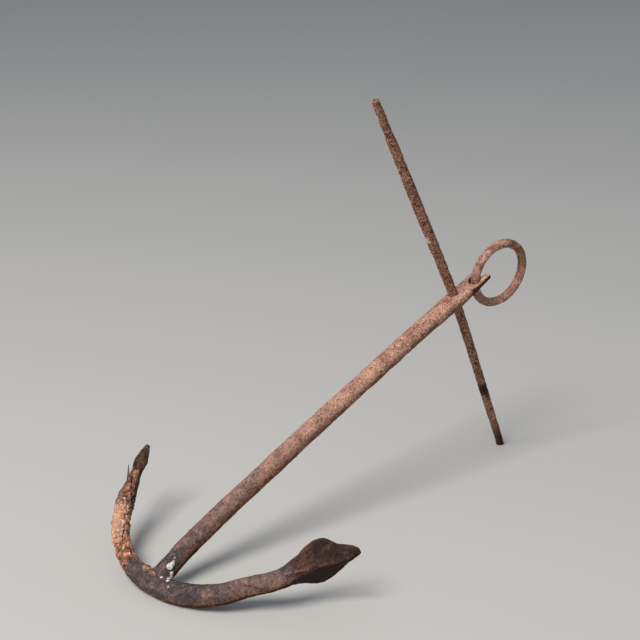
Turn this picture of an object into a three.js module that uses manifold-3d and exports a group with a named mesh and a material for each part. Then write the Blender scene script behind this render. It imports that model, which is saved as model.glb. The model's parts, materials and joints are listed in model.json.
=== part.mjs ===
// A small hand-forged stocked anchor, old and badly rusted, leaning on its crown and its stock.
//
// The anchor's own frame has its origin where the shank's centre line meets the arms:
//   +X  along the shank, from the crown to the head
//   +Y  towards the wasted arm, -Y towards the sound arm
//   +Z  along the stock, square to the arms
// The whole anchor is then leaned back to its resting attitude, with the table at z = 0.

import * as THREE from "three";
import { mergeVertices } from "three/addons/utils/BufferGeometryUtils.js";
import Module from "manifold-3d";

const wasm = await Module();
wasm.setup();

// ---- Driving dimensions: millimetres and degrees ----

const LEAN = 26.04; // the shank's rise from crown to head
const ROLL = 5.68; // the anchor rolls this far onto its sound arm
const CROWN_HEIGHT = 14.6; // the arms' centre line over the table, where it meets the shank

const SHANK_RADIUS = 12.5;
const STOCK_AT = 577; // crown to the stock's hole
const HEAD_END = 60; // the head's end, beyond the stock's hole
const HEAD_RISE = 1.8; // and how far it is bent up
const SHANK_BOW = 3.7; // the shank is bent up a little at its middle
const CROWN_SHIFT = 7; // and its foot turns towards the sound arm, where it was welded on

const EYE_AT = 39; // the eye's centre, beyond the stock's hole
const EYE_SIDE = -3.3; // and off the shank's centre line
const EYE_RADIUS = 6.9; // at its waist, halfway through the head
const EYE_FLARE = 0.4; // the eye widens this much for each millimetre towards its mouths

const STOCK_UP = 342; // the stock above the shank
const STOCK_DOWN = 306; // and below it, before its foot is cut to the table
const STOCK_RADIUS = 6.6;
const STOCK_GAP = 0.35; // round the stock in its hole
const STOCK_UP_LEAN = [-0.064, 0.049]; // slope of the upper half along X and Y
const STOCK_DOWN_LEAN = [0.024, 0.004]; // slope of the lower half, downwards

const RING_RADIUS = 44.5; // to the middle of its wire
const RING_WIRE = 6.2; // the wire's radius
const RING_SWING = 7; // turned towards the sound arm, about the eye
const RING_DROOP = 16; // sagging in the eye

// The arms' centre line from the wasted tip to the sound one, as [along X, along Y].
const ARM_LINE = [
  [149, 188],
  [100, 160],
  [64, 135],
  [24, 92],
  [3, 40],
  [0, 0],
  [9, -48],
  [34, -91],
  [68, -119],
  [92, -139],
  [120, -150],
  [155, -173],
  [179, -196],
];

// The arms' section at places along that line, counted from the crown (minus is the wasted arm):
// [place, depth away from the shank, depth towards it, half width up, half width down, ridge].
// A ridge of 2 is round on the side away from the shank, and below it that side is keeled.
const ARM_SECTIONS = [
  [-259, 2, 2.5, 3, 2.5, 2],
  [-250, 4, 5, 5.5, 4, 1.8],
  [-238, 7, 8.5, 9, 6.5, 1.6],
  [-226, 9.5, 10.5, 9.5, 8, 1.6],
  [-215, 6.5, 8.5, 6.5, 7, 1.8],
  [-204, 5.5, 9, 7, 7, 2],
  [-188, 7, 11, 9, 9.5, 2],
  [-172, 9, 13, 11, 11, 2],
  [-152, 11, 13.5, 12.3, 12.3, 2],
  [-120, 12, 12, 12.7, 12.7, 2],
  [-80, 11.2, 10.7, 12.7, 12.7, 2],
  [-50, 12.2, 10.5, 13.2, 13.2, 2],
  [-28, 13.5, 11.5, 14, 14, 2],
  [0, 14.5, 14, 14.2, 14.2, 2],
  [70, 13.8, 13.3, 13.8, 13.8, 2],
  [130, 12.8, 12.2, 12.5, 12.5, 2],
  [172, 12.5, 11.3, 11.8, 11.8, 2],
  [186, 12.6, 10.5, 12.3, 15.5, 1.8],
  [196, 12.8, 8.5, 15, 23, 1.5],
  [208, 12.6, 6.4, 23.5, 32, 1.3],
  [222, 12, 5, 34, 37, 1.2],
  [234, 11, 4.6, 39, 34.5, 1.2],
  [243, 10, 4.4, 37.5, 29, 1.2],
  [250, 9, 4.4, 29, 25, 1.25],
  [257, 8, 4.4, 18.5, 19, 1.35],
  [267, 6.8, 4.2, 14.5, 13.5, 1.5],
  [273, 5, 3.6, 11, 9, 1.8],
  [276, 2, 1.5, 5, 4, 2],
];
const PALM_CURL = 4; // how far the palm's edges bend away from the shank
const PALM_HALF_WIDTH = 36;

const SPLINTER_LENGTH = 23;
const SPLINTER_RADIUS = 2.2; // at its foot

// The shank's section along its length: [place, half width, half thickness, corner, side shift].
const SHANK_SECTIONS = [
  [-6, 12.5, 12.5, 2, 0],
  [12, 13.5, 13.2, 2, 0],
  [40, SHANK_RADIUS, SHANK_RADIUS, 2, 0],
  [520, SHANK_RADIUS, SHANK_RADIUS, 2, 0],
  [556, 12.8, 12.3, 2.2, 0],
  [STOCK_AT, 14, 11.4, 2.6, -0.6],
  [591, 14.3, 8.8, 3, -1.2],
  [602, 14.8, 5.8, 3.6, -1.6],
  [615, 15.1, 4.6, 4, -1.6],
  [STOCK_AT + HEAD_END, 15.1, 4.2, 3.6, -1.6],
];

// The stock's radius along its length, counted up from the shank.
const STOCK_SECTIONS = [
  [-STOCK_DOWN, 5.4],
  [-200, 6],
  [-90, 6.3],
  [0, STOCK_RADIUS],
  [60, 6.7],
  [170, 7.1],
  [260, 6.4],
  [318, 5.4],
  [326, 5.8],
  [STOCK_UP - 3, 5.7],
  [STOCK_UP, 4.9],
];

// ---- Solids ----

// A closed geometry as a manifold-3d solid.
function solid(geometry) {
  const bare = geometry.clone();
  bare.deleteAttribute("normal");
  bare.deleteAttribute("uv");
  const merged = mergeVertices(bare, 1e-4);
  return new wasm.Manifold(
    new wasm.Mesh({
      numProp: 3,
      vertProperties: new Float32Array(merged.attributes.position.array),
      triVerts: new Uint32Array(merged.index.array),
    }),
  );
}

// And back again, ready for a THREE.Mesh.
function geometryOf(made) {
  const { numProp, vertProperties, triVerts } = made.getMesh();
  const positions = new Float32Array((vertProperties.length / numProp) * 3);
  for (let i = 0; i < positions.length / 3; i++)
    positions.set(vertProperties.subarray(i * numProp, i * numProp + 3), i * 3);
  const geometry = new THREE.BufferGeometry();
  geometry.setAttribute("position", new THREE.BufferAttribute(positions, 3));
  geometry.setIndex(new THREE.BufferAttribute(new Uint32Array(triVerts), 1));
  geometry.computeVertexNormals();
  return geometry;
}

// The row of a table of sections at a place along the bar, eased between its neighbours.
function sectionAt(table, place) {
  const after = table.findIndex((row) => row[0] > place);
  if (after === 0) return table[0];
  if (after < 0) return table.at(-1);
  const [low, high] = [table[after - 1], table[after]];
  const share = THREE.MathUtils.smoothstep(place, low[0], high[0]);
  return low.map((value, i) => THREE.MathUtils.lerp(value, high[i], share));
}

// A power of a number's size that keeps its sign.
const signedPower = (value, power) => Math.sign(value) * Math.abs(value) ** power;

// A forged bar: a capped cylinder whose rings are carried along a curve. shape(share, c, s)
// gives a rim point's place in its ring, as [out, up], where up is +Z at a level curve.
function forgedBar(curve, steps, sides, shape) {
  const bar = new THREE.CylinderGeometry(1, 1, 1, sides, steps);
  const places = bar.attributes.position;
  const up = new THREE.Vector3(0, 0, 1);
  const out = new THREE.Vector3();
  const rise = new THREE.Vector3();
  const point = new THREE.Vector3();
  for (let i = 0; i < places.count; i++) {
    const share = THREE.MathUtils.clamp(places.getY(i) + 0.5, 0, 1);
    const onRim = Math.hypot(places.getX(i), places.getZ(i)) > 0.5;
    const tangent = curve.getTangentAt(share);
    out.crossVectors(tangent, up).normalize();
    rise.crossVectors(out, tangent);
    const [x, y] = onRim ? shape(share, places.getX(i), places.getZ(i)) : [0, 0];
    curve.getPointAt(share, point);
    point.addScaledVector(out, x).addScaledVector(rise, y);
    places.setXYZ(i, point.x, point.y, point.z);
  }
  return bar;
}

// ---- The forging: shank, arms and palm in one piece ----

function armsSolid() {
  const points = ARM_LINE.map(([x, y]) => new THREE.Vector3(x, y, 0));
  const curve = new THREE.CatmullRomCurve3(points, false, "centripetal");
  curve.arcLengthDivisions = 400;
  const crown = arcLengthTo(curve, points.findIndex((p) => p.y === 0) / (points.length - 1));
  const length = curve.getLength();
  const shape = (share, c, s) => {
    const row = sectionAt(ARM_SECTIONS, share * length - crown);
    const [, away, towards, above, below, ridge] = row;
    const keel = c > 0 ? 2 / ridge : 1;
    const up = signedPower(s, keel) * (s > 0 ? above : below);
    const curl = PALM_CURL * Math.max(0, Math.abs(up) / PALM_HALF_WIDTH - 0.35) ** 1.5;
    const out = (c > 0 ? away : towards) * signedPower(c, keel);
    return [out + curl, up];
  };
  return solid(forgedBar(curve, 76, 18, shape));
}

// The length of a curve from its start to a parameter.
function arcLengthTo(curve, parameter) {
  const lengths = curve.getLengths();
  return lengths[Math.round(parameter * (lengths.length - 1))];
}

function shankSolid() {
  const end = STOCK_AT + HEAD_END;
  const start = SHANK_SECTIONS[0][0];
  const at = (x, y) => {
    const fromMiddle = (2 * x) / STOCK_AT - 1;
    return new THREE.Vector3(x, y, SHANK_BOW * (1 - fromMiddle ** 2));
  };
  const foot = [at(start, -CROWN_SHIFT), at(26, -0.7 * CROWN_SHIFT), at(62, -0.15 * CROWN_SHIFT)];
  const rest = [0.18, 0.32, 0.5, 0.68, 0.84, 1].map((share) => at(share * STOCK_AT, 0));
  const tip = new THREE.Vector3(end, 0, HEAD_RISE);
  const curve = new THREE.CatmullRomCurve3([...foot, ...rest, tip]);
  const shape = (share, c, s) => {
    const row = sectionAt(SHANK_SECTIONS, start + share * (end - start));
    const [, halfWidth, halfThickness, corner, shift] = row;
    const side = signedPower(c, 2 / corner) * halfWidth - shift;
    return [side, signedPower(s, 2 / corner) * halfThickness];
  };
  return solid(forgedBar(curve, 48, 18, shape));
}

// What rust has taken off the head: the eye's end is left as a blunt tine on the sound side.
function wornEnd() {
  const inner = STOCK_AT + EYE_AT + EYE_RADIUS + 3.4;
  const outer = STOCK_AT + HEAD_END + 5;
  const shape = new THREE.Shape();
  shape.moveTo(outer, -20);
  shape.lineTo(outer - 9, -20);
  shape.lineTo(outer - 6.5, -16.5);
  shape.lineTo(outer - 5, -12);
  shape.lineTo(outer - 8, -9);
  shape.quadraticCurveTo(inner, -8, inner, EYE_SIDE);
  shape.quadraticCurveTo(inner, 7, inner + 1.5, 11);
  shape.lineTo(inner - 2, 16);
  shape.lineTo(outer, 20);
  const cutter = new THREE.ExtrudeGeometry(shape, { depth: 30, bevelEnabled: false });
  return solid(cutter.translate(0, 0, -15));
}

function eyeHole() {
  const reach = 15;
  const mouth = EYE_RADIUS + EYE_FLARE * reach;
  const profile = [[0, -reach], [mouth, -reach], [EYE_RADIUS, 0], [mouth, reach], [0, reach]];
  const hole = new THREE.LatheGeometry(profile.map(([r, y]) => new THREE.Vector2(r, y)), 24);
  hole.rotateX(Math.PI / 2);
  return solid(hole.translate(STOCK_AT + EYE_AT, EYE_SIDE, 0));
}

// A splinter of scale that stands off the wasted arm, beside the last of its fluke.
function splinter() {
  const foot = new THREE.Vector3(89.4, 156, 4.7);
  const lean = new THREE.Vector3(14, 12.5, 6.5).normalize();
  const spike = new THREE.ConeGeometry(SPLINTER_RADIUS, SPLINTER_LENGTH, 6);
  spike.translate(0, SPLINTER_LENGTH / 2, 0);
  spike.applyQuaternion(
    new THREE.Quaternion().setFromUnitVectors(new THREE.Vector3(0, 1, 0), lean),
  );
  return solid(spike.translate(foot.x, foot.y, foot.z));
}

// ---- The stock ----

function stockCurve() {
  const along = (height, [x, y]) =>
    new THREE.Vector3(STOCK_AT + height * x, height * y, height);
  const down = (depth) =>
    new THREE.Vector3(
      STOCK_AT + depth * STOCK_DOWN_LEAN[0],
      depth * STOCK_DOWN_LEAN[1],
      -depth,
    );
  return new THREE.CatmullRomCurve3([
    down(STOCK_DOWN),
    down(STOCK_DOWN / 2),
    down(40),
    along(40, STOCK_UP_LEAN),
    along(STOCK_UP / 2, STOCK_UP_LEAN),
    along(STOCK_UP, STOCK_UP_LEAN),
  ]);
}

// The stock, or with a gap the hole that it fills.
function stockSolid(gap) {
  const curve = stockCurve();
  const length = STOCK_UP + STOCK_DOWN;
  const bar = new THREE.CylinderGeometry(1, 1, 1, 14, 30);
  const places = bar.attributes.position;
  const point = new THREE.Vector3();
  for (let i = 0; i < places.count; i++) {
    const share = THREE.MathUtils.clamp(places.getY(i) + 0.5, 0, 1);
    const [, radius] = sectionAt(STOCK_SECTIONS, share * length - STOCK_DOWN);
    curve.getPointAt(share, point);
    places.setXYZ(
      i,
      point.x + places.getZ(i) * (radius + gap),
      point.y + places.getX(i) * (radius + gap),
      point.z,
    );
  }
  return solid(bar);
}

// ---- Putting it together ----

const anchor = new THREE.Group();
anchor.rotation.set(
  THREE.MathUtils.degToRad(ROLL),
  THREE.MathUtils.degToRad(-LEAN),
  0,
  "YXZ",
);
anchor.position.z = CROWN_HEIGHT;
anchor.updateMatrix();

// Everything under the table's surface, in the anchor's own frame.
const table = solid(
  new THREE.BoxGeometry(2000, 2000, 100)
    .translate(0, 0, -50)
    .applyMatrix4(anchor.matrix.clone().invert()),
);

const forging = shankSolid()
  .subtract(wornEnd())
  .subtract(eyeHole())
  .add(armsSolid())
  .add(splinter())
  .subtract(stockSolid(STOCK_GAP))
  .subtract(table);

const rustedIron = (color, roughness) =>
  new THREE.MeshStandardMaterial({ color, roughness, metalness: 0.2 });

const shankAndArms = new THREE.Mesh(geometryOf(forging), rustedIron(0x6b4438, 0.9));
shankAndArms.name = "shank_and_arms";
anchor.add(shankAndArms);

const stock = new THREE.Mesh(
  geometryOf(stockSolid(0).subtract(table)),
  rustedIron(0x553426, 0.92),
);
stock.name = "stock";
anchor.add(stock);

const eye = new THREE.Group();
eye.position.set(STOCK_AT + EYE_AT, EYE_SIDE, 0);
eye.rotation.z = THREE.MathUtils.degToRad(-RING_SWING);
anchor.add(eye);

const ring = new THREE.Mesh(
  new THREE.TorusGeometry(RING_RADIUS, RING_WIRE, 12, 40)
    .rotateX(Math.PI / 2)
    .translate(RING_RADIUS, 0, 0)
    .rotateY(THREE.MathUtils.degToRad(RING_DROOP)),
  rustedIron(0x74493a, 0.88),
);
ring.name = "ring";
eye.add(ring);

// The origin is under the middle of the anchor's box, on the table.
const part = new THREE.Group();
part.add(anchor);
part.updateMatrixWorld(true);
const middle = new THREE.Box3().setFromObject(part, true).getCenter(new THREE.Vector3());
anchor.position.x -= middle.x;
anchor.position.y -= middle.y;

export default part;
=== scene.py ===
"""The looks of a small stocked anchor, old and badly rusted, round its CAD model.

Three pieces: the forging (shank, crown, arms and palm in one), the stock and the ring. Each is
a copy of its CAD node, made into one even skin of small faces and then hammered, pitted and
flaked in millimetres in the anchor's own frame:
  X runs along the shank from the crown to the head,
  Y towards the wasted arm, and -Y towards the sound arm,
  Z along the stock.
A skin also carries layers that its rust reads, such as how high a point stands in the scale
and how orange it is, and where painted shade and painted highlights go.
"""

import json
import math

import bmesh
import bpy
from mathutils import Matrix, Vector, noise
from mathutils.kdtree import KDTree


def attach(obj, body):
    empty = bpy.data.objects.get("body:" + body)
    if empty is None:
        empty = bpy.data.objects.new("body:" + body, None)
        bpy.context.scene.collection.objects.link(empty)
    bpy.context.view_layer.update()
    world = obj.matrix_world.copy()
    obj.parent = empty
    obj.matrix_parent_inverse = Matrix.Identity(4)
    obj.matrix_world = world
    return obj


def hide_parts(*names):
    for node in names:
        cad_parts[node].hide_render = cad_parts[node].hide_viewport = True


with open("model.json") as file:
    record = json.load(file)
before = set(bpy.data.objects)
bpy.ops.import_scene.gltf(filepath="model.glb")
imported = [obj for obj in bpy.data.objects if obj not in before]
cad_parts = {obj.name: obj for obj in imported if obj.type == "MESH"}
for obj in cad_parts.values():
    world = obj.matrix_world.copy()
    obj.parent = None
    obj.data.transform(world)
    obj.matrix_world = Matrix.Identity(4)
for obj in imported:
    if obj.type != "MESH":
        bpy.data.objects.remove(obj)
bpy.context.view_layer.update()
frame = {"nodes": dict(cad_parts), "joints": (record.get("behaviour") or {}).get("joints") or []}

bl_info = {
    "name": "Rusted stocked anchor",
    "version": (1, 0, 0),
    "blender": (4, 5, 0),
    "location": "3D View > Sidebar > Anchor",
    "description": "Builds the rusted skins of a small stocked anchor and a studio round it",
    "category": "Object",
}

MM = 0.001
# Vertices nearer than this, in metres, are one.
SAME_PLACE = 1e-6

# noise_vector shifts with the seed, so it is set before each piece.
NOISE_SEED = 5

# ---- Where things are, in millimetres in the anchor's own frame ----

# The eye that the ring swings in, from the crown and to the side.
EYE_FROM_CROWN = 616.0
EYE_SIDE = -3.3
# Between these distances from the eye, the rust grows to its full height.
EYE_CALM = (10.0, 20.0)
RING_CALM = (8, 18)
RING_CALM_LEAST = 0.4

# The arms' centre line from the wasted tip to the sound one, along X and Y.
ARM_LINE = (
    (149, 188),
    (100, 160),
    (64, 135),
    (24, 92),
    (3, 40),
    (0, 0),
    (9, -48),
    (34, -91),
    (68, -119),
    (92, -139),
    (120, -150),
    (155, -173),
    (179, -196),
)
ARM_LINE_STEP = 2.0
# The shank and an arm part at this slope, X over Y. On the shank's middle line, the arm's scabs
# end at one place along X and the shank's colours begin at the other.
CROTCH_SLOPE = 2.2
SCAB_FOOT, SHANK_FOOT = 20, 40

# The skin is smoothed less where the forging is thin or sharp: on the head, on the leaf that
# is left of the wasted fluke, and on the palm.
SHARP_PASSES, PALM_PASSES, FULL_PASSES = 2, 4, 9
HEAD_FROM_X = 592
LEAF_FROM_X, LEAF_FROM_Y = 60, 130
PALM_FROM_Y = -140

# Lengths along the arms, counted from the crown. A span of two is where something comes in, and
# a band of four is where it comes in and goes out again. These are on the wasted arm:
SCAB_BAND = (8, 40, 150, 200)
ORANGE_SPAN = (16, 62)
ORANGE_DULL_SPAN = (85, 110)
PALE_BAND = (58, 96, 134, 156)
NECK_BAND = (140, 165, 205, 214)
BROWN_SPAN = (148, 168)
LEAF_SPAN = (200, 212)
# And these are on the sound arm:
LIGHT_BAND = (60, 150, 175, 200)
NO_ORANGE_SPAN = (110, 170)
PALM_SPAN = (170, 215)
# Along the shank, the rust grows lighter; near the head a painted highlight lies on its upper
# faces, and painted shade darkens one side of the head's end.
LIGHTER_SPAN = (-220, 590)
HEAD_HIGHLIGHT_SPAN = (500, 600)
HEAD_END_SPAN = (585, 600)

# The weld's bead, as (middle, radius, depth), and its crust, as (middle, radius).
WELD_BEAD = (
    ((9, 14, 10), 8, -2.6),
    ((8, 6, 12), 8, -1.8),
    ((6, -3, 13), 7, -1.2),
    ((14, 12, 7), 5, -1.5),
    ((12, 9, 9), 3.5, 1.8),
    ((4, 11, 12), 3, 1.4),
)
WELD_CRUST = (
    ((26, -13.5, 10), 5.5),
    ((30.5, -13.5, 9.5), 4.0),
    ((22, -18, 3), 4.0),
    ((19, -18.8, -1), 4.5),
    ((15, -21, 2), 3.6),
    ((12, -27, 9), 4.0),
    ((9, -31, 12.5), 3.2),
    ((8, -20, 12), 2.6),
)
WELD_CRUST_RISE = 0.8
WELD_GROOVE = ((31, -14, 5), (24, -16.5, 4.5))
PALE_SPECK_RADIUS = 2.2
PALE_SPECKS = (
    (34, -12, 10.5),
    (38, -10, 11.5),
    (6, -10, 14),
    (3, -40, 14),
    (15, -55, 12),
    (330, -6, 12),
    (470, 0, 14),
    (556, -4, 12),
)

# Curled scabs on the wasted arm, as lines along their lifted rims, and the hollows in two.
CURLS = (
    ((57, 125, 12), (60, 130, 11.5), (65, 131, 11.5), (67, 127, 11)),
    ((20, 84, 11), (24, 84, 10.5), (27, 81, 10), (26, 77, 10)),
    ((9, 60, 12), (13, 64, 12), (17, 61, 11.5)),
    ((8, 46, 12.5), (12, 50, 12), (15, 47, 11)),
)
CURL_HOLLOWS = ((21.6, 79.5, 11), (60, 130, 11))
# A crack where a long flake lifts off the wasted arm, down its inner side.
CRACK = (
    (97, 155, 7),
    (92, 149, 8),
    (87, 146, 6),
    (83, 139, 7.5),
    (76, 132, 4),
    (73, 126, 3),
    (68, 122, -1),
)
# The splinter that stands beside the leaf.
SPLINTER_FOOT = (89.4, 156, 4.7)
SPLINTER_LEAN = (0.703, 0.628, 0.327)
SPLINTER_LENGTH = 24
SPLINTER_RADII = (2.4, 0.4)
# It wanders this far, once in each stretch of the other.
SPLINTER_KINK, SPLINTER_KINK_WIDTH = 0.5, 4

# The folds in the leaf, as (line, width, depth, darkness), its bright and dark patches, as
# (middle, radius, amount), and its lump, as (middle, radius, depth).
LEAF_FOLDS = (
    (((117, 178, 5), (121, 178, 7), (126, 176, 9)), 3.0, 1.5, 1.0),
    (((102, 164, 6), (108, 164, 7), (113, 161, 3)), 2.6, 1.0, 1.0),
    (((113, 168, 7), (122, 171, 9), (133, 178, 8)), 3.0, 1.0, 0.0),
)
LEAF_BRIGHT = (((128, 172, 8), 9, 0.6), ((104, 157, 6), 8, 0.4))
LEAF_DARK = ((114, 171, 7), 7, 0.75)
LEAF_LUMP = ((119, 178, 8), 4, -3)

# The palm's hollow and swelling, as (middle, radius, depth), its ridge, and a groove beside it.
PALM_HOLLOW = ((121, -157, 16), 15, 1.8)
PALM_SWELLING = ((150, -177, 18), 13, -1.0)
PALM_RIDGE = (
    (100, -150, 9),
    (112, -158, 7.5),
    (125, -164, 3.5),
    (138, -172, 0.5),
    (153, -182, -2),
    (168, -192, 0),
)
PALM_GROOVE = ((128, -162, 17), (140, -168, 13), (152, -178, 12))

# The stock's dark ring and dark foot, its chips, as (middle, radius, amount), and its dent.
STOCK_RING_Z = -178
STOCK_RING_SPAN = (4, 28)
STOCK_FOOT_SPAN = (190, 295)
STOCK_CHIPS = (((563.3, 5, 112), 5, 1.3), ((564, 5, 118), 4, 1.2))
STOCK_DENT = ((553, 19, 318), 8, 1.5)

# The ring's outer half, along X and along Z.
RING_OUTER_X = (668, 694)
RING_OUTER_Z = (-45, -5)

# Directions in the shared frame: the underside faces one, and gets warm rust and painted shade;
# the side away from the key light faces the other, and gets painted shade, while the stock's
# opposite side gets a painted highlight.
UNDERSIDE = (0.35, -0.5, -1)
SIDE_AWAY_FROM_KEY = (0.763, -0.646, -0.004)


# ---- Properties ----


def length(name, description, default):
    """A length, given here in millimetres and kept in metres."""
    return bpy.props.FloatProperty(
        name=name, description=description, default=default * MM, unit="LENGTH", precision=5
    )


def colour(name, description, default):
    return bpy.props.FloatVectorProperty(
        name=name, description=description, default=default, size=3, subtype="COLOR", min=0, max=1
    )


def number(name, description, default, unit):
    return bpy.props.FloatProperty(
        name=name, description=description, default=default, min=0, unit=unit
    )


class ForgingSettings(bpy.types.PropertyGroup):
    """Sizes and colours of the shank, the arms and the palm."""

    step: length("Skin step", "Size of the skin's faces", 1.16)
    wave: length("Wave height", "Height of the hammered unevenness", 0.5)
    grain: length("Grain height", "Height of the fine rust grain", 0.24)
    plate: length("Scale thickness", "Thickness of the plates of scale", 0.28)
    pit: length("Pit depth", "Depth of the round pits", 0.5)
    scab: length("Scab height", "How far the scabs on the wasted arm stand up", 2.0)
    patina: colour("Patina", "Purple-grey rust of the crown and the arms", (0.072, 0.053, 0.054))
    palm: colour("Palm", "Dark rust of the palm", (0.058, 0.031, 0.025))
    # Also the painted shade on the underside and on the sides away from the key light.
    shade: colour("Dark rust", "Black-brown rust in hollows", (0.026, 0.013, 0.009))
    warm: colour("Warm rust", "Ochre-brown rust on the underside", (0.20, 0.082, 0.040))
    ochre: colour("Ochre rust", "Ochre spots", (0.26, 0.125, 0.055))
    bloom: colour("Light rust", "Pinkish light rust of the head", (0.40, 0.215, 0.160))
    orange: colour("Fresh rust", "Bright scale on the wasted arm", (0.50, 0.215, 0.115))
    pale: colour("Pale rust", "Pale tan of worn scale", (0.76, 0.45, 0.30))
    crust: colour("Crust", "Pale crust at the weld", (0.66, 0.62, 0.56))


class StockSettings(bpy.types.PropertyGroup):
    """Sizes and colours of the stock."""

    step: length("Skin step", "Size of the skin's faces", 0.6)
    wave: length("Wave height", "Height of the hammered unevenness", 0.35)
    grain: length("Grain height", "Height of the fine rust grain", 0.3)
    plate: length("Scale thickness", "Thickness of the plates of scale", 0.4)
    pit: length("Pit depth", "Depth of the round pits", 0.7)
    patina: colour("Patina", "Brown rust", (0.255, 0.110, 0.072))
    shade: colour("Dark rust", "Black-brown pits", (0.022, 0.011, 0.008))
    warm: colour("Warm rust", "Ochre speckles", (0.36, 0.155, 0.07))
    # Also the painted highlight along the stock's side that faces the key light.
    bloom: colour("Light rust", "Pinkish chips and flecks", (0.60, 0.42, 0.32))


class RingSettings(bpy.types.PropertyGroup):
    """Sizes and colours of the ring."""

    step: length("Skin step", "Size of the skin's faces", 0.45)
    wave: length("Wave height", "Height of the hammered unevenness", 0.25)
    grain: length("Grain height", "Height of the fine rust grain", 0.16)
    plate: length("Scale thickness", "Thickness of the plates of scale", 0.2)
    pit: length("Pit depth", "Depth of the round pits", 0.35)
    patina: colour("Patina", "Pinkish-brown rust", (0.34, 0.172, 0.128))
    shade: colour("Dark rust", "Dark pits", (0.045, 0.021, 0.015))
    warm: colour("Warm rust", "Ochre rust on the ring's outer half", (0.20, 0.092, 0.05))
    bloom: colour("Light rust", "Pinkish flecks", (0.62, 0.40, 0.32))


class StageSettings(bpy.types.PropertyGroup):
    """The floor, the lights and the camera."""

    floor: colour("Floor", "Colour of the floor", (0.46, 0.445, 0.425))
    sky: colour("Sky", "Colour of the light from all round", (0.82, 0.90, 1.0))
    sky_strength: number("Sky strength", "Light from all round", 0.42, "NONE")
    key_power: number("Key power", "Power of the large lamp", 275, "POWER")
    focal_length: number("Focal length", "Of the camera's lens", 80.1, "CAMERA")


def settings_of(context, name):
    return getattr(context.scene, "anchor_" + name)


# ---- The anchor's own frame ----


def anchor_frame():
    """From millimetres in the anchor's own frame to metres in the shared frame."""
    joint = frame["joints"][0]
    up = Vector(joint["axis"]).normalized()
    along = Vector((up.z, 0, -up.x)).normalized()
    turn = Matrix((along, up.cross(along), up)).transposed().to_4x4()
    to_eye = Matrix.Translation((-EYE_FROM_CROWN, -EYE_SIDE, 0))
    return Matrix.Translation(joint["pos_m"]) @ turn @ Matrix.Scale(MM, 4) @ to_eye


def own_direction(direction):
    """A direction in the shared frame, given in the anchor's own."""
    return (anchor_frame().inverted().to_3x3() @ Vector(direction)).normalized()


def on_shank(at, foot):
    """Whether a point is past the angle between the shank and an arm, from its foot along X."""
    return at.x > foot + CROTCH_SLOPE * abs(at.y)


def off_eye(at):
    """How far a point is from the line that the ring swings about."""
    return math.hypot(at.x - EYE_FROM_CROWN, at.y - EYE_SIDE)


def line_points(points, gap):
    """Points every gap along a line of points."""
    found = []
    for start, end in zip(points, points[1:]):
        start, end = Vector(start), Vector(end)
        count = max(1, round((end - start).length / gap))
        found += [start.lerp(end, i / count) for i in range(count)]
    return found + [Vector(points[-1])]


def tree_of(points):
    """A tree that finds the nearest of some points."""
    tree = KDTree(len(points))
    for index, point in enumerate(points):
        tree.insert(point, index)
    tree.balance()
    return tree


class Arms:
    """Places along the arms, counted from the crown: minus on the wasted arm."""

    def __init__(self):
        points = line_points([(x, y, 0) for x, y in ARM_LINE], ARM_LINE_STEP)
        crown = min(range(len(points)), key=lambda i: points[i].length)
        places = [0.0]
        for start, end in zip(points, points[1:]):
            places.append(places[-1] + (end - start).length)
        self.places = [place - places[crown] for place in places]
        self.tree = tree_of(points)

    def place_of(self, at):
        """The place along the arms nearest a point."""
        _, index, _ = self.tree.find(Vector((at.x, at.y, 0)))
        return self.places[index]


# ---- Skins ----


def skin(node, name, step, passes):
    """A copy of a CAD node as an even skin of small faces, as a new object and its bmesh.

    passes(point) is how often it is smoothed there.
    """
    noise.seed_set(NOISE_SEED)
    piece = bpy.data.objects.new(name, frame["nodes"][node].data.copy())
    bpy.context.scene.collection.objects.link(piece)
    bm = bmesh.new()
    bm.from_mesh(piece.data)
    bmesh.ops.remove_doubles(bm, verts=bm.verts, dist=SAME_PLACE)
    bm.transform(anchor_frame().inverted())
    bm.to_mesh(piece.data)
    remesh = piece.modifiers.new("skin", "REMESH")
    remesh.mode = "VOXEL"
    remesh.voxel_size = step / MM
    bpy.context.view_layer.update()
    finished = piece.evaluated_get(bpy.context.evaluated_depsgraph_get())
    even = bpy.data.meshes.new_from_object(finished)
    piece.modifiers.clear()
    bm.clear()
    bm.from_mesh(even)
    bpy.data.meshes.remove(even)
    wanted = [(vert, passes(vert.co)) for vert in bm.verts]
    for turn in range(max(count for _, count in wanted)):
        bmesh.ops.smooth_vert(
            bm,
            verts=[vert for vert, count in wanted if count > turn],
            factor=0.5,
            use_axis_x=True,
            use_axis_y=True,
            use_axis_z=True,
        )
    bm.normal_update()
    return piece, bm


def settle(piece, bm, node, body, material):
    """Puts the finished skin back in the shared frame, on the floor and in the CAD node's place."""
    bm.transform(anchor_frame())
    for vert in bm.verts:
        vert.co.z = max(vert.co.z, 0)
    for face in bm.faces:
        face.smooth = True
    bm.to_mesh(piece.data)
    bm.free()
    piece.data.materials.clear()
    piece.data.materials.append(material)
    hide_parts(node)
    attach(piece, body)


def ease(value, low, high):
    """0 below low, 1 above high, and smooth between them."""
    share = min(max((value - low) / (high - low), 0), 1)
    return share * share * (3 - 2 * share)


def band(value, start, full, fading, end):
    """Comes in from start to full, and goes out again from fading to end."""
    return ease(value, start, full) * (1 - ease(value, fading, end))


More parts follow.
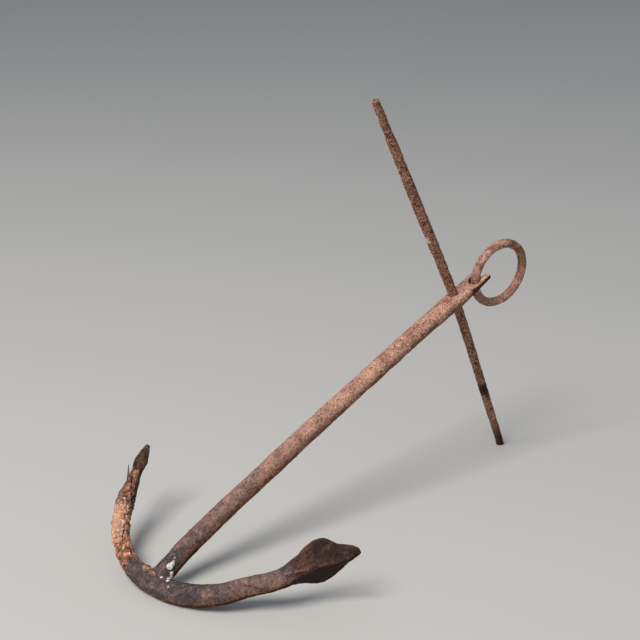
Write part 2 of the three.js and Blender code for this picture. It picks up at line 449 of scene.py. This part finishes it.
def rust(bm, settings, size, calm, scabs=None):
    """Roughens a skin as rust does, and keeps its height and its plates of scale as layers.

    size is how wide its lumps are in millimetres, calm(point) quiets it near a fit, and
    scabs(point) is how far it lifts in curled scabs.
    """
    height = bm.verts.layers.float.new("height")
    plates = bm.verts.layers.float.new("plates")
    wave, grain = settings.wave / MM, settings.grain / MM
    plate, pit = settings.plate / MM, settings.pit / MM
    pit_shift = Vector((9, 3, 5))
    bm.normal_update()
    for vert in bm.verts:
        at = vert.co.copy()
        scab = scabs(at) if scabs else 0.0
        broad = noise.fractal(at / (size * 5), 0.9, 2.0, 2)
        fine = noise.fractal(at / (size * 0.5), 0.6, 2.0, 2)
        torn = noise.fractal(at / (size * 1.5), 0.7, 2.1, 3)
        flakes = ease(torn + 0.25 * broad, -0.05, 0.12)
        off_middle = noise.voronoi(at / (size * 0.9))[0][0]
        hole = ease(0.42 - off_middle, 0, 0.3)
        hole *= ease(noise.noise(at / (size * 3) + pit_shift), 0.0, 0.3)
        rise = broad * wave + fine * grain + flakes * plate - hole * pit
        if scab:
            lift, flakes = scab_scale(at, scab)
            rise += lift * settings.scab / MM
        vert.co += vert.normal * rise * calm(at)
        vert[height] = fine * 0.4 + flakes * 0.3 - hole
        vert[plates] = flakes


def scab_scale(at, amount):
    """Curled plates of scale: how far one lifts here, and its share of bright rust."""
    width, warp_width = 9.0, 6.0
    warped = at / width + noise.noise_vector(at / warp_width) * 0.45
    distances, cells = noise.voronoi(warped)
    tilt = noise.noise_vector(cells[0] * 7.3) * 1.6
    level = noise.noise(cells[0] * 3.1 + Vector((2, 7, 1)))
    crack = 1 - ease(distances[1] - distances[0], 0.02, 0.16)
    lift = (0.7 * level + (warped - cells[0]).dot(tilt) - 0.7 * crack) * amount
    return lift, (0.5 + level - 0.9 * crack) * amount + 0.5 * (1 - amount)


class Tools:
    """A hammer, a chisel and a brush, for single marks on a skin."""

    def __init__(self, bm):
        bm.verts.ensure_lookup_table()
        self.verts = bm.verts
        self.tree = tree_of([vert.co for vert in bm.verts])

    def dent(self, centre, radius, depth):
        """Pushes the skin in round a point; a depth below 0 raises it."""
        for _, index, distance in self.tree.find_range(Vector(centre), radius):
            vert = self.verts[index]
            vert.co -= vert.normal * depth * (1 - ease(distance, 0, radius))

    def paint(self, layer, centre, radius, amount):
        """Paints a layer round a point, most at its middle."""
        for _, index, distance in self.tree.find_range(Vector(centre), radius):
            vert = self.verts[index]
            share = 1 - ease(distance, radius * 0.4, radius)
            vert[layer] = max(vert[layer], amount * share)

    def score(self, line, width, depth, layer, amount):
        """Cuts a groove along a line of points, or raises a ridge at a depth below 0, and
        paints it."""
        near = {}
        for point in line_points(line, width * 0.5):
            for _, index, distance in self.tree.find_range(point, width):
                near[index] = min(near.get(index, width), distance)
        for index, distance in near.items():
            vert = self.verts[index]
            share = 1 - ease(distance, 0, width)
            vert.co -= vert.normal * depth * share
            vert[layer] = max(vert[layer], amount * share)


# ---- Rusts, with painted shade and painted highlights ----

# Speckles turn from dark to middle and from middle to light over these tones.
DARK_EDGE = (0.41, 0.50)
LIGHT_EDGE = (0.50, 0.60)
# The light speckles are this much stronger, and hazed with this much of a pale tint.
LIGHT_GAIN = 0.55
HAZE = 0.12
HAZE_TINT = (1.0, 0.78, 0.68)


def shown(rgb):
    """A colour property as a node socket's colour."""
    return (*rgb, 1.0)


class Finish:
    """A rust being mixed: its noises, and its coats of colour so far."""

    def __init__(self, name, size):
        """size is the width of the rust's middling blotches in millimetres."""
        self.material = bpy.data.materials.new(name)
        self.material.use_nodes = True
        self.nodes = self.material.node_tree.nodes
        self.links = self.material.node_tree.links
        # The patterns are lined up with the anchor's own axes.
        mapping = self.nodes.new("ShaderNodeMapping")
        turn = anchor_frame().to_3x3().normalized().inverted().to_euler()
        mapping.inputs["Rotation"].default_value = turn
        place = self.nodes.new("ShaderNodeTexCoord").outputs["Object"]
        self.wire(place, mapping.inputs["Vector"])
        self.place = mapping.outputs["Vector"]
        self.size = size
        self.grain = self.cloud(0.5, 3, 0.75)
        blotch = self.cloud(1.6, 4, 0.68, 0.7)
        self.patch = self.cloud(6, 4, 0.6, 0.8)
        self.tone = self.sum((self.grain, 0.36), (blotch, 0.42), (self.patch, 0.22))
        self.colour = None

    def wire(self, source, socket):
        """Links a socket, or sets a plain value."""
        if isinstance(source, bpy.types.NodeSocket):
            self.links.new(source, socket)
        else:
            socket.default_value = source

    def cloud(self, width, detail, roughness, distortion=0.0):
        """Cloudy noise, its width given in sizes of the rust."""
        node = self.nodes.new("ShaderNodeTexNoise")
        node.inputs["Scale"].default_value = 1 / (self.size * width * MM)
        node.inputs["Detail"].default_value = detail
        node.inputs["Roughness"].default_value = roughness
        node.inputs["Distortion"].default_value = distortion
        self.wire(self.place, node.inputs["Vector"])
        return node.outputs["Fac"]

    def layer(self, name):
        node = self.nodes.new("ShaderNodeAttribute")
        node.attribute_name = name
        return node.outputs["Fac"]

    def ease(self, value, low, high):
        """0 at low, 1 at high, smooth between; low may be the larger."""
        node = self.nodes.new("ShaderNodeMapRange")
        node.interpolation_type = "SMOOTHSTEP"
        node.inputs["From Min"].default_value = low
        node.inputs["From Max"].default_value = high
        self.wire(value, node.inputs["Value"])
        return node.outputs["Result"]

    def reckon(self, operation, *values):
        node = self.nodes.new("ShaderNodeMath")
        node.operation = operation
        for value, socket in zip(values, node.inputs):
            self.wire(value, socket)
        return node.outputs["Value"]

    def sum(self, *terms):
        """A weighted sum of (value, weight) pairs."""
        total = 0.0
        for value, weight in terms:
            total = self.reckon("MULTIPLY_ADD", value, weight, total)
        return total

    def product(self, first, *others):
        for other in others:
            first = self.reckon("MULTIPLY", first, other)
        return first

    def blend(self, share, under, over):
        """One colour over another by a share."""
        node = self.nodes.new("ShaderNodeMix")
        node.data_type = "RGBA"
        self.wire(share, node.inputs["Factor"])
        self.wire(under, node.inputs["A"])
        self.wire(over, node.inputs["B"])
        return node.outputs["Result"]

    def region(self, name, low, high, **frayed):
        """Where a layer is strong, its edge frayed by weights of the tone, grain or patch."""
        terms = [(getattr(self, noise_name), weight) for noise_name, weight in frayed.items()]
        return self.ease(self.sum((self.layer(name), 1.0), *terms), low, high)

    def speckled(self, rgb, contrast):
        """One rust in dark, middle and light speckles by the tone."""
        dark = [part * (1 - contrast) for part in rgb]
        light = [
            part * (1 + LIGHT_GAIN * contrast) + HAZE * contrast * haze
            for part, haze in zip(rgb, HAZE_TINT)
        ]
        darker = self.blend(self.ease(self.tone, *DARK_EDGE), shown(dark), shown(rgb))
        return self.blend(self.ease(self.tone, *LIGHT_EDGE), darker, shown(light))

    def coat(self, over, *shares):
        """Lays a colour over the coats so far, by the product of the shares."""
        self.colour = self.blend(self.product(*shares), self.colour, over)

    def pits(self, shade, share):
        """Dark rust in the pits and the cracks of the skin."""
        low = self.region("height", 0.45, -0.05, grain=1.2)
        self.coat(shown(shade), low, share)

    def finish(self, roughness, depth):
        """The finished material, its relief up to a depth in millimetres."""
        shader = self.nodes["Principled BSDF"]
        self.wire(self.colour, shader.inputs["Base Color"])
        self.wire(self.sum((self.grain, 0.3), (roughness, 1.0)), shader.inputs["Roughness"])
        shader.inputs["Specular IOR Level"].default_value = 0.14
        bump = self.nodes.new("ShaderNodeBump")
        bump.inputs["Distance"].default_value = depth * MM
        bump.inputs["Strength"].default_value = 1.0
        dust = self.cloud(0.2, 3, 0.7)
        relief = self.sum((self.tone, 0.8), (self.grain, 0.7), (dust, 0.35))
        self.wire(relief, bump.inputs["Height"])
        self.wire(bump.outputs["Normal"], shader.inputs["Normal"])
        return self.material


def forging_rust(settings):
    made = Finish("forging_rust", size=5.0)
    made.colour = made.speckled(settings.patina, 0.5)
    # The light rust of the shank, and the palm's dark rust with its red patches.
    made.coat(made.speckled(settings.bloom, 0.5), made.region("bloom", 0.1, 1.15, tone=0.3))
    palm = made.region("palm", 0.7, 1.1, tone=0.8)
    made.coat(made.speckled(settings.palm, 0.4), palm)
    made.coat(shown(settings.warm), palm, made.ease(made.patch, 0.46, 0.6), 0.3)
    # The underside: warm rust, then painted shade on the faces that turn furthest down; and ochre
    # spots.
    under = made.region("under", 0.65, 1.3, patch=0.6, tone=0.6)
    made.coat(made.speckled(settings.warm, 0.7), under, made.region("palm", 0.9, 0.2))
    made.coat(shown(settings.shade), made.region("under", 0.8, 1.25, tone=0.4))
    spotted = made.product(made.ease(made.patch, 0.5, 0.62), made.ease(made.tone, 0.46, 0.6))
    made.coat(shown(settings.ochre), spotted, made.region("palm", 0.4, 0.0), 0.3)
    # The wasted arm's bright plates, with dull rust between them.
    orange = made.region("orange", 1.3, 2.0, patch=0.9, tone=1.4)
    dull = made.speckled([0.42 * part + 0.01 for part in settings.orange], 0.75)
    bright = made.speckled(settings.orange, 0.6)
    made.coat(made.blend(made.region("plates", 0.35, 0.85, tone=0.5), dull, bright), orange)
    made.pits(settings.shade, 0.7)
    # Pale flecks and warm holes in the light rust.
    spots = made.sum((made.grain, 0.65), (made.patch, 0.35))
    light = made.region("bloom", 0.3, 1.0)
    made.coat(shown(settings.pale), made.ease(spots, 0.53, 0.60), light, 0.7)
    made.coat(shown(settings.warm), made.ease(spots, 0.48, 0.42), light, 0.8)
    # Pale wear and painted highlights, dark hollows and painted shade, and the weld's crust.
    made.coat(made.speckled(settings.pale, 0.35), made.region("pale_wear_and_highlight", 0.5, 1.2, grain=0.6))
    made.coat(shown(settings.shade), made.region("dark", 0.75, 1.05, tone=0.8))
    made.coat(made.speckled(settings.crust, 0.5), made.region("crust", 1.15, 1.4, grain=1.6))
    return made.finish(roughness=0.62, depth=1.3)


def stock_rust(settings):
    made = Finish("stock_rust", size=3.4)
    made.colour = made.speckled(settings.patina, 0.9)
    warm = made.ease(made.grain, 0.49, 0.58)
    made.coat(shown(settings.warm), warm, made.ease(made.patch, 0.35, 0.55))
    made.coat(shown(settings.bloom), made.ease(made.grain, 0.55, 0.63), 0.6)
    made.pits(settings.shade, 0.75)
    made.coat(shown(settings.shade), made.ease(made.grain, 0.49, 0.41), 0.8)
    made.coat(shown(settings.shade), made.region("dark", 0.75, 1.05, tone=0.8))
    # Pale chips, and a painted highlight on the side that faces the key light.
    made.coat(shown(settings.bloom), made.region("bloom", 0.8, 1.0, grain=0.9))
    return made.finish(roughness=0.66, depth=1.3)


def ring_rust(settings):
    made = Finish("ring_rust", size=3.6)
    made.colour = made.speckled(settings.patina, 0.8)
    outer = made.region("outer", 0.75, 1.2, patch=0.5, tone=0.5)
    made.coat(made.speckled(settings.warm, 0.8), outer)
    made.pits(settings.shade, 0.7)
    spots = made.sum((made.grain, 0.5), (made.patch, 0.5))
    made.coat(shown(settings.bloom), made.ease(spots, 0.52, 0.59), 0.55)
    made.coat(shown(settings.warm), made.ease(spots, 0.49, 0.42), 0.85)
    return made.finish(roughness=0.62, depth=1.1)


# ---- Pieces ----


class ANCHOR_OT_forging(bpy.types.Operator):
    """Builds the skin of the shank, crown, arms and palm"""

    bl_idname = "anchor.forging"
    bl_label = "Forging"

    def execute(self, context):
        settings = settings_of(context, "forging")
        arms = Arms()

        def passes(at):
            if at.x > HEAD_FROM_X or (at.x > LEAF_FROM_X and at.y > LEAF_FROM_Y):
                return SHARP_PASSES
            return PALM_PASSES if at.y < PALM_FROM_Y else FULL_PASSES

        def calm(at):
            return ease(off_eye(at), *EYE_CALM)

        def scabs(at):
            if at.y < SCAB_BAND[0] or on_shank(at, SCAB_FOOT):
                return 0.0
            return band(-arms.place_of(at), *SCAB_BAND)

        piece, bm = skin("shank_and_arms", "rusted_forging", settings.step, passes)
        rust(bm, settings, size=5.0, calm=calm, scabs=scabs)
        marked = self.colour_regions(bm, arms)
        self.marks(Tools(bm), *marked)
        self.splinter(bm)
        settle(piece, bm, "shank_and_arms", "anchor", forging_rust(settings))
        return {"FINISHED"}

    def colour_regions(self, bm, arms):
        """Where the surface is orange, dark, pale, light or turned under, with painted shade on the
        sides away from the key light and painted highlights near the head; gives the layers that
        the marks paint as well."""
        orange, dark, crust, bloom, under, palm, pale_wear_and_highlight = (
            bm.verts.layers.float.new(name)
            for name in ("orange", "dark", "crust", "bloom", "under", "palm", "pale_wear_and_highlight")
        )
        bm.normal_update()
        down, away_from_key = own_direction(UNDERSIDE), own_direction(SIDE_AWAY_FROM_KEY)
        for vert in bm.verts:
            at = vert.co
            # How far a face turns down: warm rust there, and painted shade where it turns furthest
            # down.
            vert[under] = ease(vert.normal.dot(down), -0.15, 0.75)
            if on_shank(at, SHANK_FOOT):
                vert[bloom] = ease(at.x, *LIGHTER_SPAN)
                # Painted highlight near the head, on the faces that do not turn down.
                vert[pale_wear_and_highlight] = 0.25 * ease(at.x, *HEAD_HIGHLIGHT_SPAN) * (1 - vert[under])
                # Painted shade on the head's end, on the faces that turn towards -Y.
                vert[dark] = 0.6 * ease(at.x, *HEAD_END_SPAN) * ease(-vert.normal.y, 0.35, 0.7)
                vert[under] *= 0.7
                continue
            place = arms.place_of(at)
            wasted = -place
            # How far a face turns to the side away from the key light, where shade is painted.
            facing_away = vert.normal.dot(away_from_key)
            strip = 1 - ease(abs(facing_away - 0.25), 0.12, 0.45)
            pale = band(wasted, *PALE_BAND)
            neck = band(wasted, *NECK_BAND)
            # Orange grows up the wasted arm, dulls, and ends in one bright strip up its neck.
            dulled = 0.45 * ease(wasted, *ORANGE_DULL_SPAN)
            vert[orange] = ease(wasted, *ORANGE_SPAN) * (1 - dulled)
            vert[orange] += neck * (0.33 * strip - 0.4) - 0.8 * ease(place, *NO_ORANGE_SPAN)
            # Pale wear, weaker on the side away from the key light: painted shade there.
            vert[pale_wear_and_highlight] = 0.55 * pale * (1 - 0.5 * ease(facing_away, 0.2, 0.7))
            # Darker over the leaf, and painted shade on the neck's side away from the key light.
            vert[dark] = 0.5 * ease(wasted, *LEAF_SPAN) + 0.5 * neck * ease(facing_away, 0.4, 0.8)
            vert[bloom] = 0.3 * band(place, *LIGHT_BAND) + pale
            vert[palm] = ease(place, *PALM_SPAN) + 0.7 * ease(wasted, *BROWN_SPAN)
            if place > 0:
                vert[under] *= 1 - vert[palm] * (1 - ease(vert[under], 0.45, 0.8))
        return orange, dark, crust, pale_wear_and_highlight

    def marks(self, tools, orange, dark, crust, pale_wear_and_highlight):
        """The marks that this anchor alone has."""
        # The weld: a rough bead on the wasted arm's side, and a pale crust on the other.
        for middle, radius, depth in WELD_BEAD:
            tools.dent(middle, radius, depth)
            tools.paint(orange, middle, radius, amount=0.45)
        for middle, radius in WELD_CRUST:
            tools.dent(middle, radius, -WELD_CRUST_RISE)
            tools.paint(crust, middle, radius, amount=1.0)
        tools.score(WELD_GROOVE, width=1.6, depth=0.9, layer=dark, amount=1.0)
        for middle in PALE_SPECKS:
            tools.paint(pale_wear_and_highlight, middle, PALE_SPECK_RADIUS, amount=0.7)
        # The wasted arm: curled scabs, and a long crack along its inner side.
        for curl in CURLS:
            tools.score(curl, width=2.4, depth=-1.6, layer=pale_wear_and_highlight, amount=1.0)
        for middle in CURL_HOLLOWS:
            tools.dent(middle, radius=3.5, depth=1.4)
            tools.paint(dark, middle, radius=3.0, amount=1.0)
        tools.score(CRACK, width=3.2, depth=2.2, layer=dark, amount=1.0)
        # The leaf: folds, a notch in its edge and dark rims.
        for line, width, depth, darkness in LEAF_FOLDS:
            tools.score(line, width, depth, dark, darkness)
        for spot in LEAF_BRIGHT:
            tools.paint(orange, *spot)
        tools.paint(dark, *LEAF_DARK)
        tools.dent(*LEAF_LUMP)
        # The palm: hollowed on its upper flank, with a painted highlight along its ridge.
        tools.dent(*PALM_HOLLOW)
        tools.dent(*PALM_SWELLING)
        tools.score(PALM_RIDGE, width=5.0, depth=-1.3, layer=pale_wear_and_highlight, amount=0.36)
        tools.score(PALM_GROOVE, width=2.4, depth=0.9, layer=dark, amount=0.5)

    def splinter(self, bm):
        """A splinter of scale that stands off the wasted arm, beside the leaf."""
        lean = Vector(SPLINTER_LEAN)
        middle = Vector(SPLINTER_FOOT) + lean * SPLINTER_LENGTH / 2
        turn = lean.to_track_quat("Z", "Y").to_matrix().to_4x4()
        made = bmesh.ops.create_cone(
            bm,
            cap_ends=True,
            segments=14,
            radius1=SPLINTER_RADII[0],
            radius2=SPLINTER_RADII[1],
            depth=SPLINTER_LENGTH,
            matrix=Matrix.Translation(middle) @ turn,
        )
        for vert in made["verts"]:
            vert.co += noise.noise_vector(vert.co / SPLINTER_KINK_WIDTH) * SPLINTER_KINK


class ANCHOR_OT_stock(bpy.types.Operator):
    """Builds the skin of the stock"""

    bl_idname = "anchor.stock"
    bl_label = "Stock"

    def execute(self, context):
        settings = settings_of(context, "stock")
        piece, bm = skin("stock", "rusted_stock", settings.step, lambda at: FULL_PASSES)
        rust(bm, settings, size=4.0, calm=lambda at: 1.0)
        dark, bloom = (bm.verts.layers.float.new(name) for name in ("dark", "bloom"))
        away_from_key = own_direction(SIDE_AWAY_FROM_KEY)
        bm.normal_update()
        for vert in bm.verts:
            vert[dark] = 0.6 * (1 - ease(abs(vert.co.z - STOCK_RING_Z), *STOCK_RING_SPAN))
            vert[dark] += 0.58 * ease(-vert.co.z, *STOCK_FOOT_SPAN)
            # Painted highlight on the faces turned towards the key light.
            vert[bloom] = 0.45 * ease(-vert.normal.dot(away_from_key), 0.45, 0.95)
        tools = Tools(bm)
        for chip in STOCK_CHIPS:
            tools.paint(bloom, *chip)
        tools.dent(*STOCK_DENT)
        settle(piece, bm, "stock", "anchor", stock_rust(settings))
        return {"FINISHED"}


class ANCHOR_OT_ring(bpy.types.Operator):
    """Builds the skin of the ring"""

    bl_idname = "anchor.ring"
    bl_label = "Ring"

    def execute(self, context):
        settings = settings_of(context, "ring")
        eye = Vector((EYE_FROM_CROWN, EYE_SIDE, 0))

        def calm(at):
            return RING_CALM_LEAST + (1 - RING_CALM_LEAST) * ease((at - eye).length, *RING_CALM)

        piece, bm = skin("ring", "rusted_ring", settings.step, lambda at: FULL_PASSES)
        rust(bm, settings, size=4.0, calm=calm)
        outer = bm.verts.layers.float.new("outer")
        for vert in bm.verts:
            vert[outer] = ease(vert.co.x, *RING_OUTER_X) * ease(vert.co.z, *RING_OUTER_Z)
        settle(piece, bm, "ring", "ring", ring_rust(settings))
        return {"FINISHED"}


# ---- The studio, in metres in the shared frame ----

FLOOR_RADIUS = 14
KEY_AT = (-3.0, -0.8, 3.9)
KEY_AIM = (0, 0, 0.2)
KEY_SIZE = 2.4
KEY_TINT = (1.0, 0.97, 0.93)
CAMERA_AT = (-1.1638, -1.3133, 0.8674)
CAMERA_AHEAD = (0.6119, 0.7246, -0.3172)
CAMERA_UP = (0.2076, 0.2399, 0.9483)


class ANCHOR_OT_stage(bpy.types.Operator):
    """Builds the floor, the lights and the camera"""

    bl_idname = "anchor.stage"
    bl_label = "Stage"

    def execute(self, context):
        settings = settings_of(context, "stage")
        self.floor(context, settings)
        self.sky(context, settings)
        self.key(context, settings)
        self.camera(context, settings)
        return {"FINISHED"}

    def floor(self, context, settings):
        bm = bmesh.new()
        bmesh.ops.create_circle(bm, cap_ends=True, segments=96, radius=FLOOR_RADIUS)
        mesh = bpy.data.meshes.new("floor")
        bm.to_mesh(mesh)
        bm.free()
        floor = bpy.data.objects.new("floor", mesh)
        context.scene.collection.objects.link(floor)
        material = bpy.data.materials.new("floor")
        material.use_nodes = True
        shader = material.node_tree.nodes["Principled BSDF"]
        shader.inputs["Base Color"].default_value = shown(settings.floor)
        shader.inputs["Roughness"].default_value = 0.9
        mesh.materials.append(material)

    def sky(self, context, settings):
        context.scene.view_settings.view_transform = "Standard"
        world = bpy.data.worlds.new("studio")
        world.use_nodes = True
        sky = world.node_tree.nodes["Background"]
        sky.inputs["Color"].default_value = shown(settings.sky)
        sky.inputs["Strength"].default_value = settings.sky_strength
        context.scene.world = world

    def key(self, context, settings):
        light = bpy.data.lights.new("key", "AREA")
        light.shape = "DISK"
        light.size = KEY_SIZE
        light.energy = settings.key_power
        light.color = KEY_TINT
        lamp = bpy.data.objects.new("key", light)
        turn = (Vector(KEY_AIM) - Vector(KEY_AT)).to_track_quat("-Z", "Y").to_matrix().to_4x4()
        lamp.matrix_world = Matrix.Translation(KEY_AT) @ turn
        context.scene.collection.objects.link(lamp)

    def camera(self, context, settings):
        lens = bpy.data.cameras.new("camera")
        lens.lens = settings.focal_length
        camera = bpy.data.objects.new("camera", lens)
        ahead = Vector(CAMERA_AHEAD).normalized()
        right = ahead.cross(Vector(CAMERA_UP)).normalized()
        turn = Matrix((right, right.cross(ahead), -ahead)).transposed().to_4x4()
        camera.matrix_world = Matrix.Translation(CAMERA_AT) @ turn
        context.scene.collection.objects.link(camera)
        context.scene.camera = camera


# ---- The add-on ----

GROUPS = {
    "forging": ForgingSettings,
    "stock": StockSettings,
    "ring": RingSettings,
    "stage": StageSettings,
}


class ANCHOR_PT_build(bpy.types.Panel):
    """Lists what can be built"""

    bl_idname = "ANCHOR_PT_build"
    bl_label = "Rusted anchor"
    bl_space_type = "VIEW_3D"
    bl_region_type = "UI"
    bl_category = "Anchor"

    def draw(self, context):
        for name, group in GROUPS.items():
            box = self.layout.box()
            box.operator("anchor." + name)
            for field in group.__annotations__:
                box.prop(settings_of(context, name), field)


CLASSES = [
    *GROUPS.values(),
    ANCHOR_OT_stage,
    ANCHOR_OT_forging,
    ANCHOR_OT_stock,
    ANCHOR_OT_ring,
    ANCHOR_PT_build,
]


def register():
    for made in CLASSES:
        bpy.utils.register_class(made)
    for name, group in GROUPS.items():
        setattr(bpy.types.Scene, "anchor_" + name, bpy.props.PointerProperty(type=group))


def unregister():
    for name in GROUPS:
        delattr(bpy.types.Scene, "anchor_" + name)
    for made in reversed(CLASSES):
        bpy.utils.unregister_class(made)


def main():
    register()
    bpy.ops.anchor.stage()
    bpy.ops.anchor.forging()
    bpy.ops.anchor.stock()
    bpy.ops.anchor.ring()


if __name__ == "__main__":
    main()
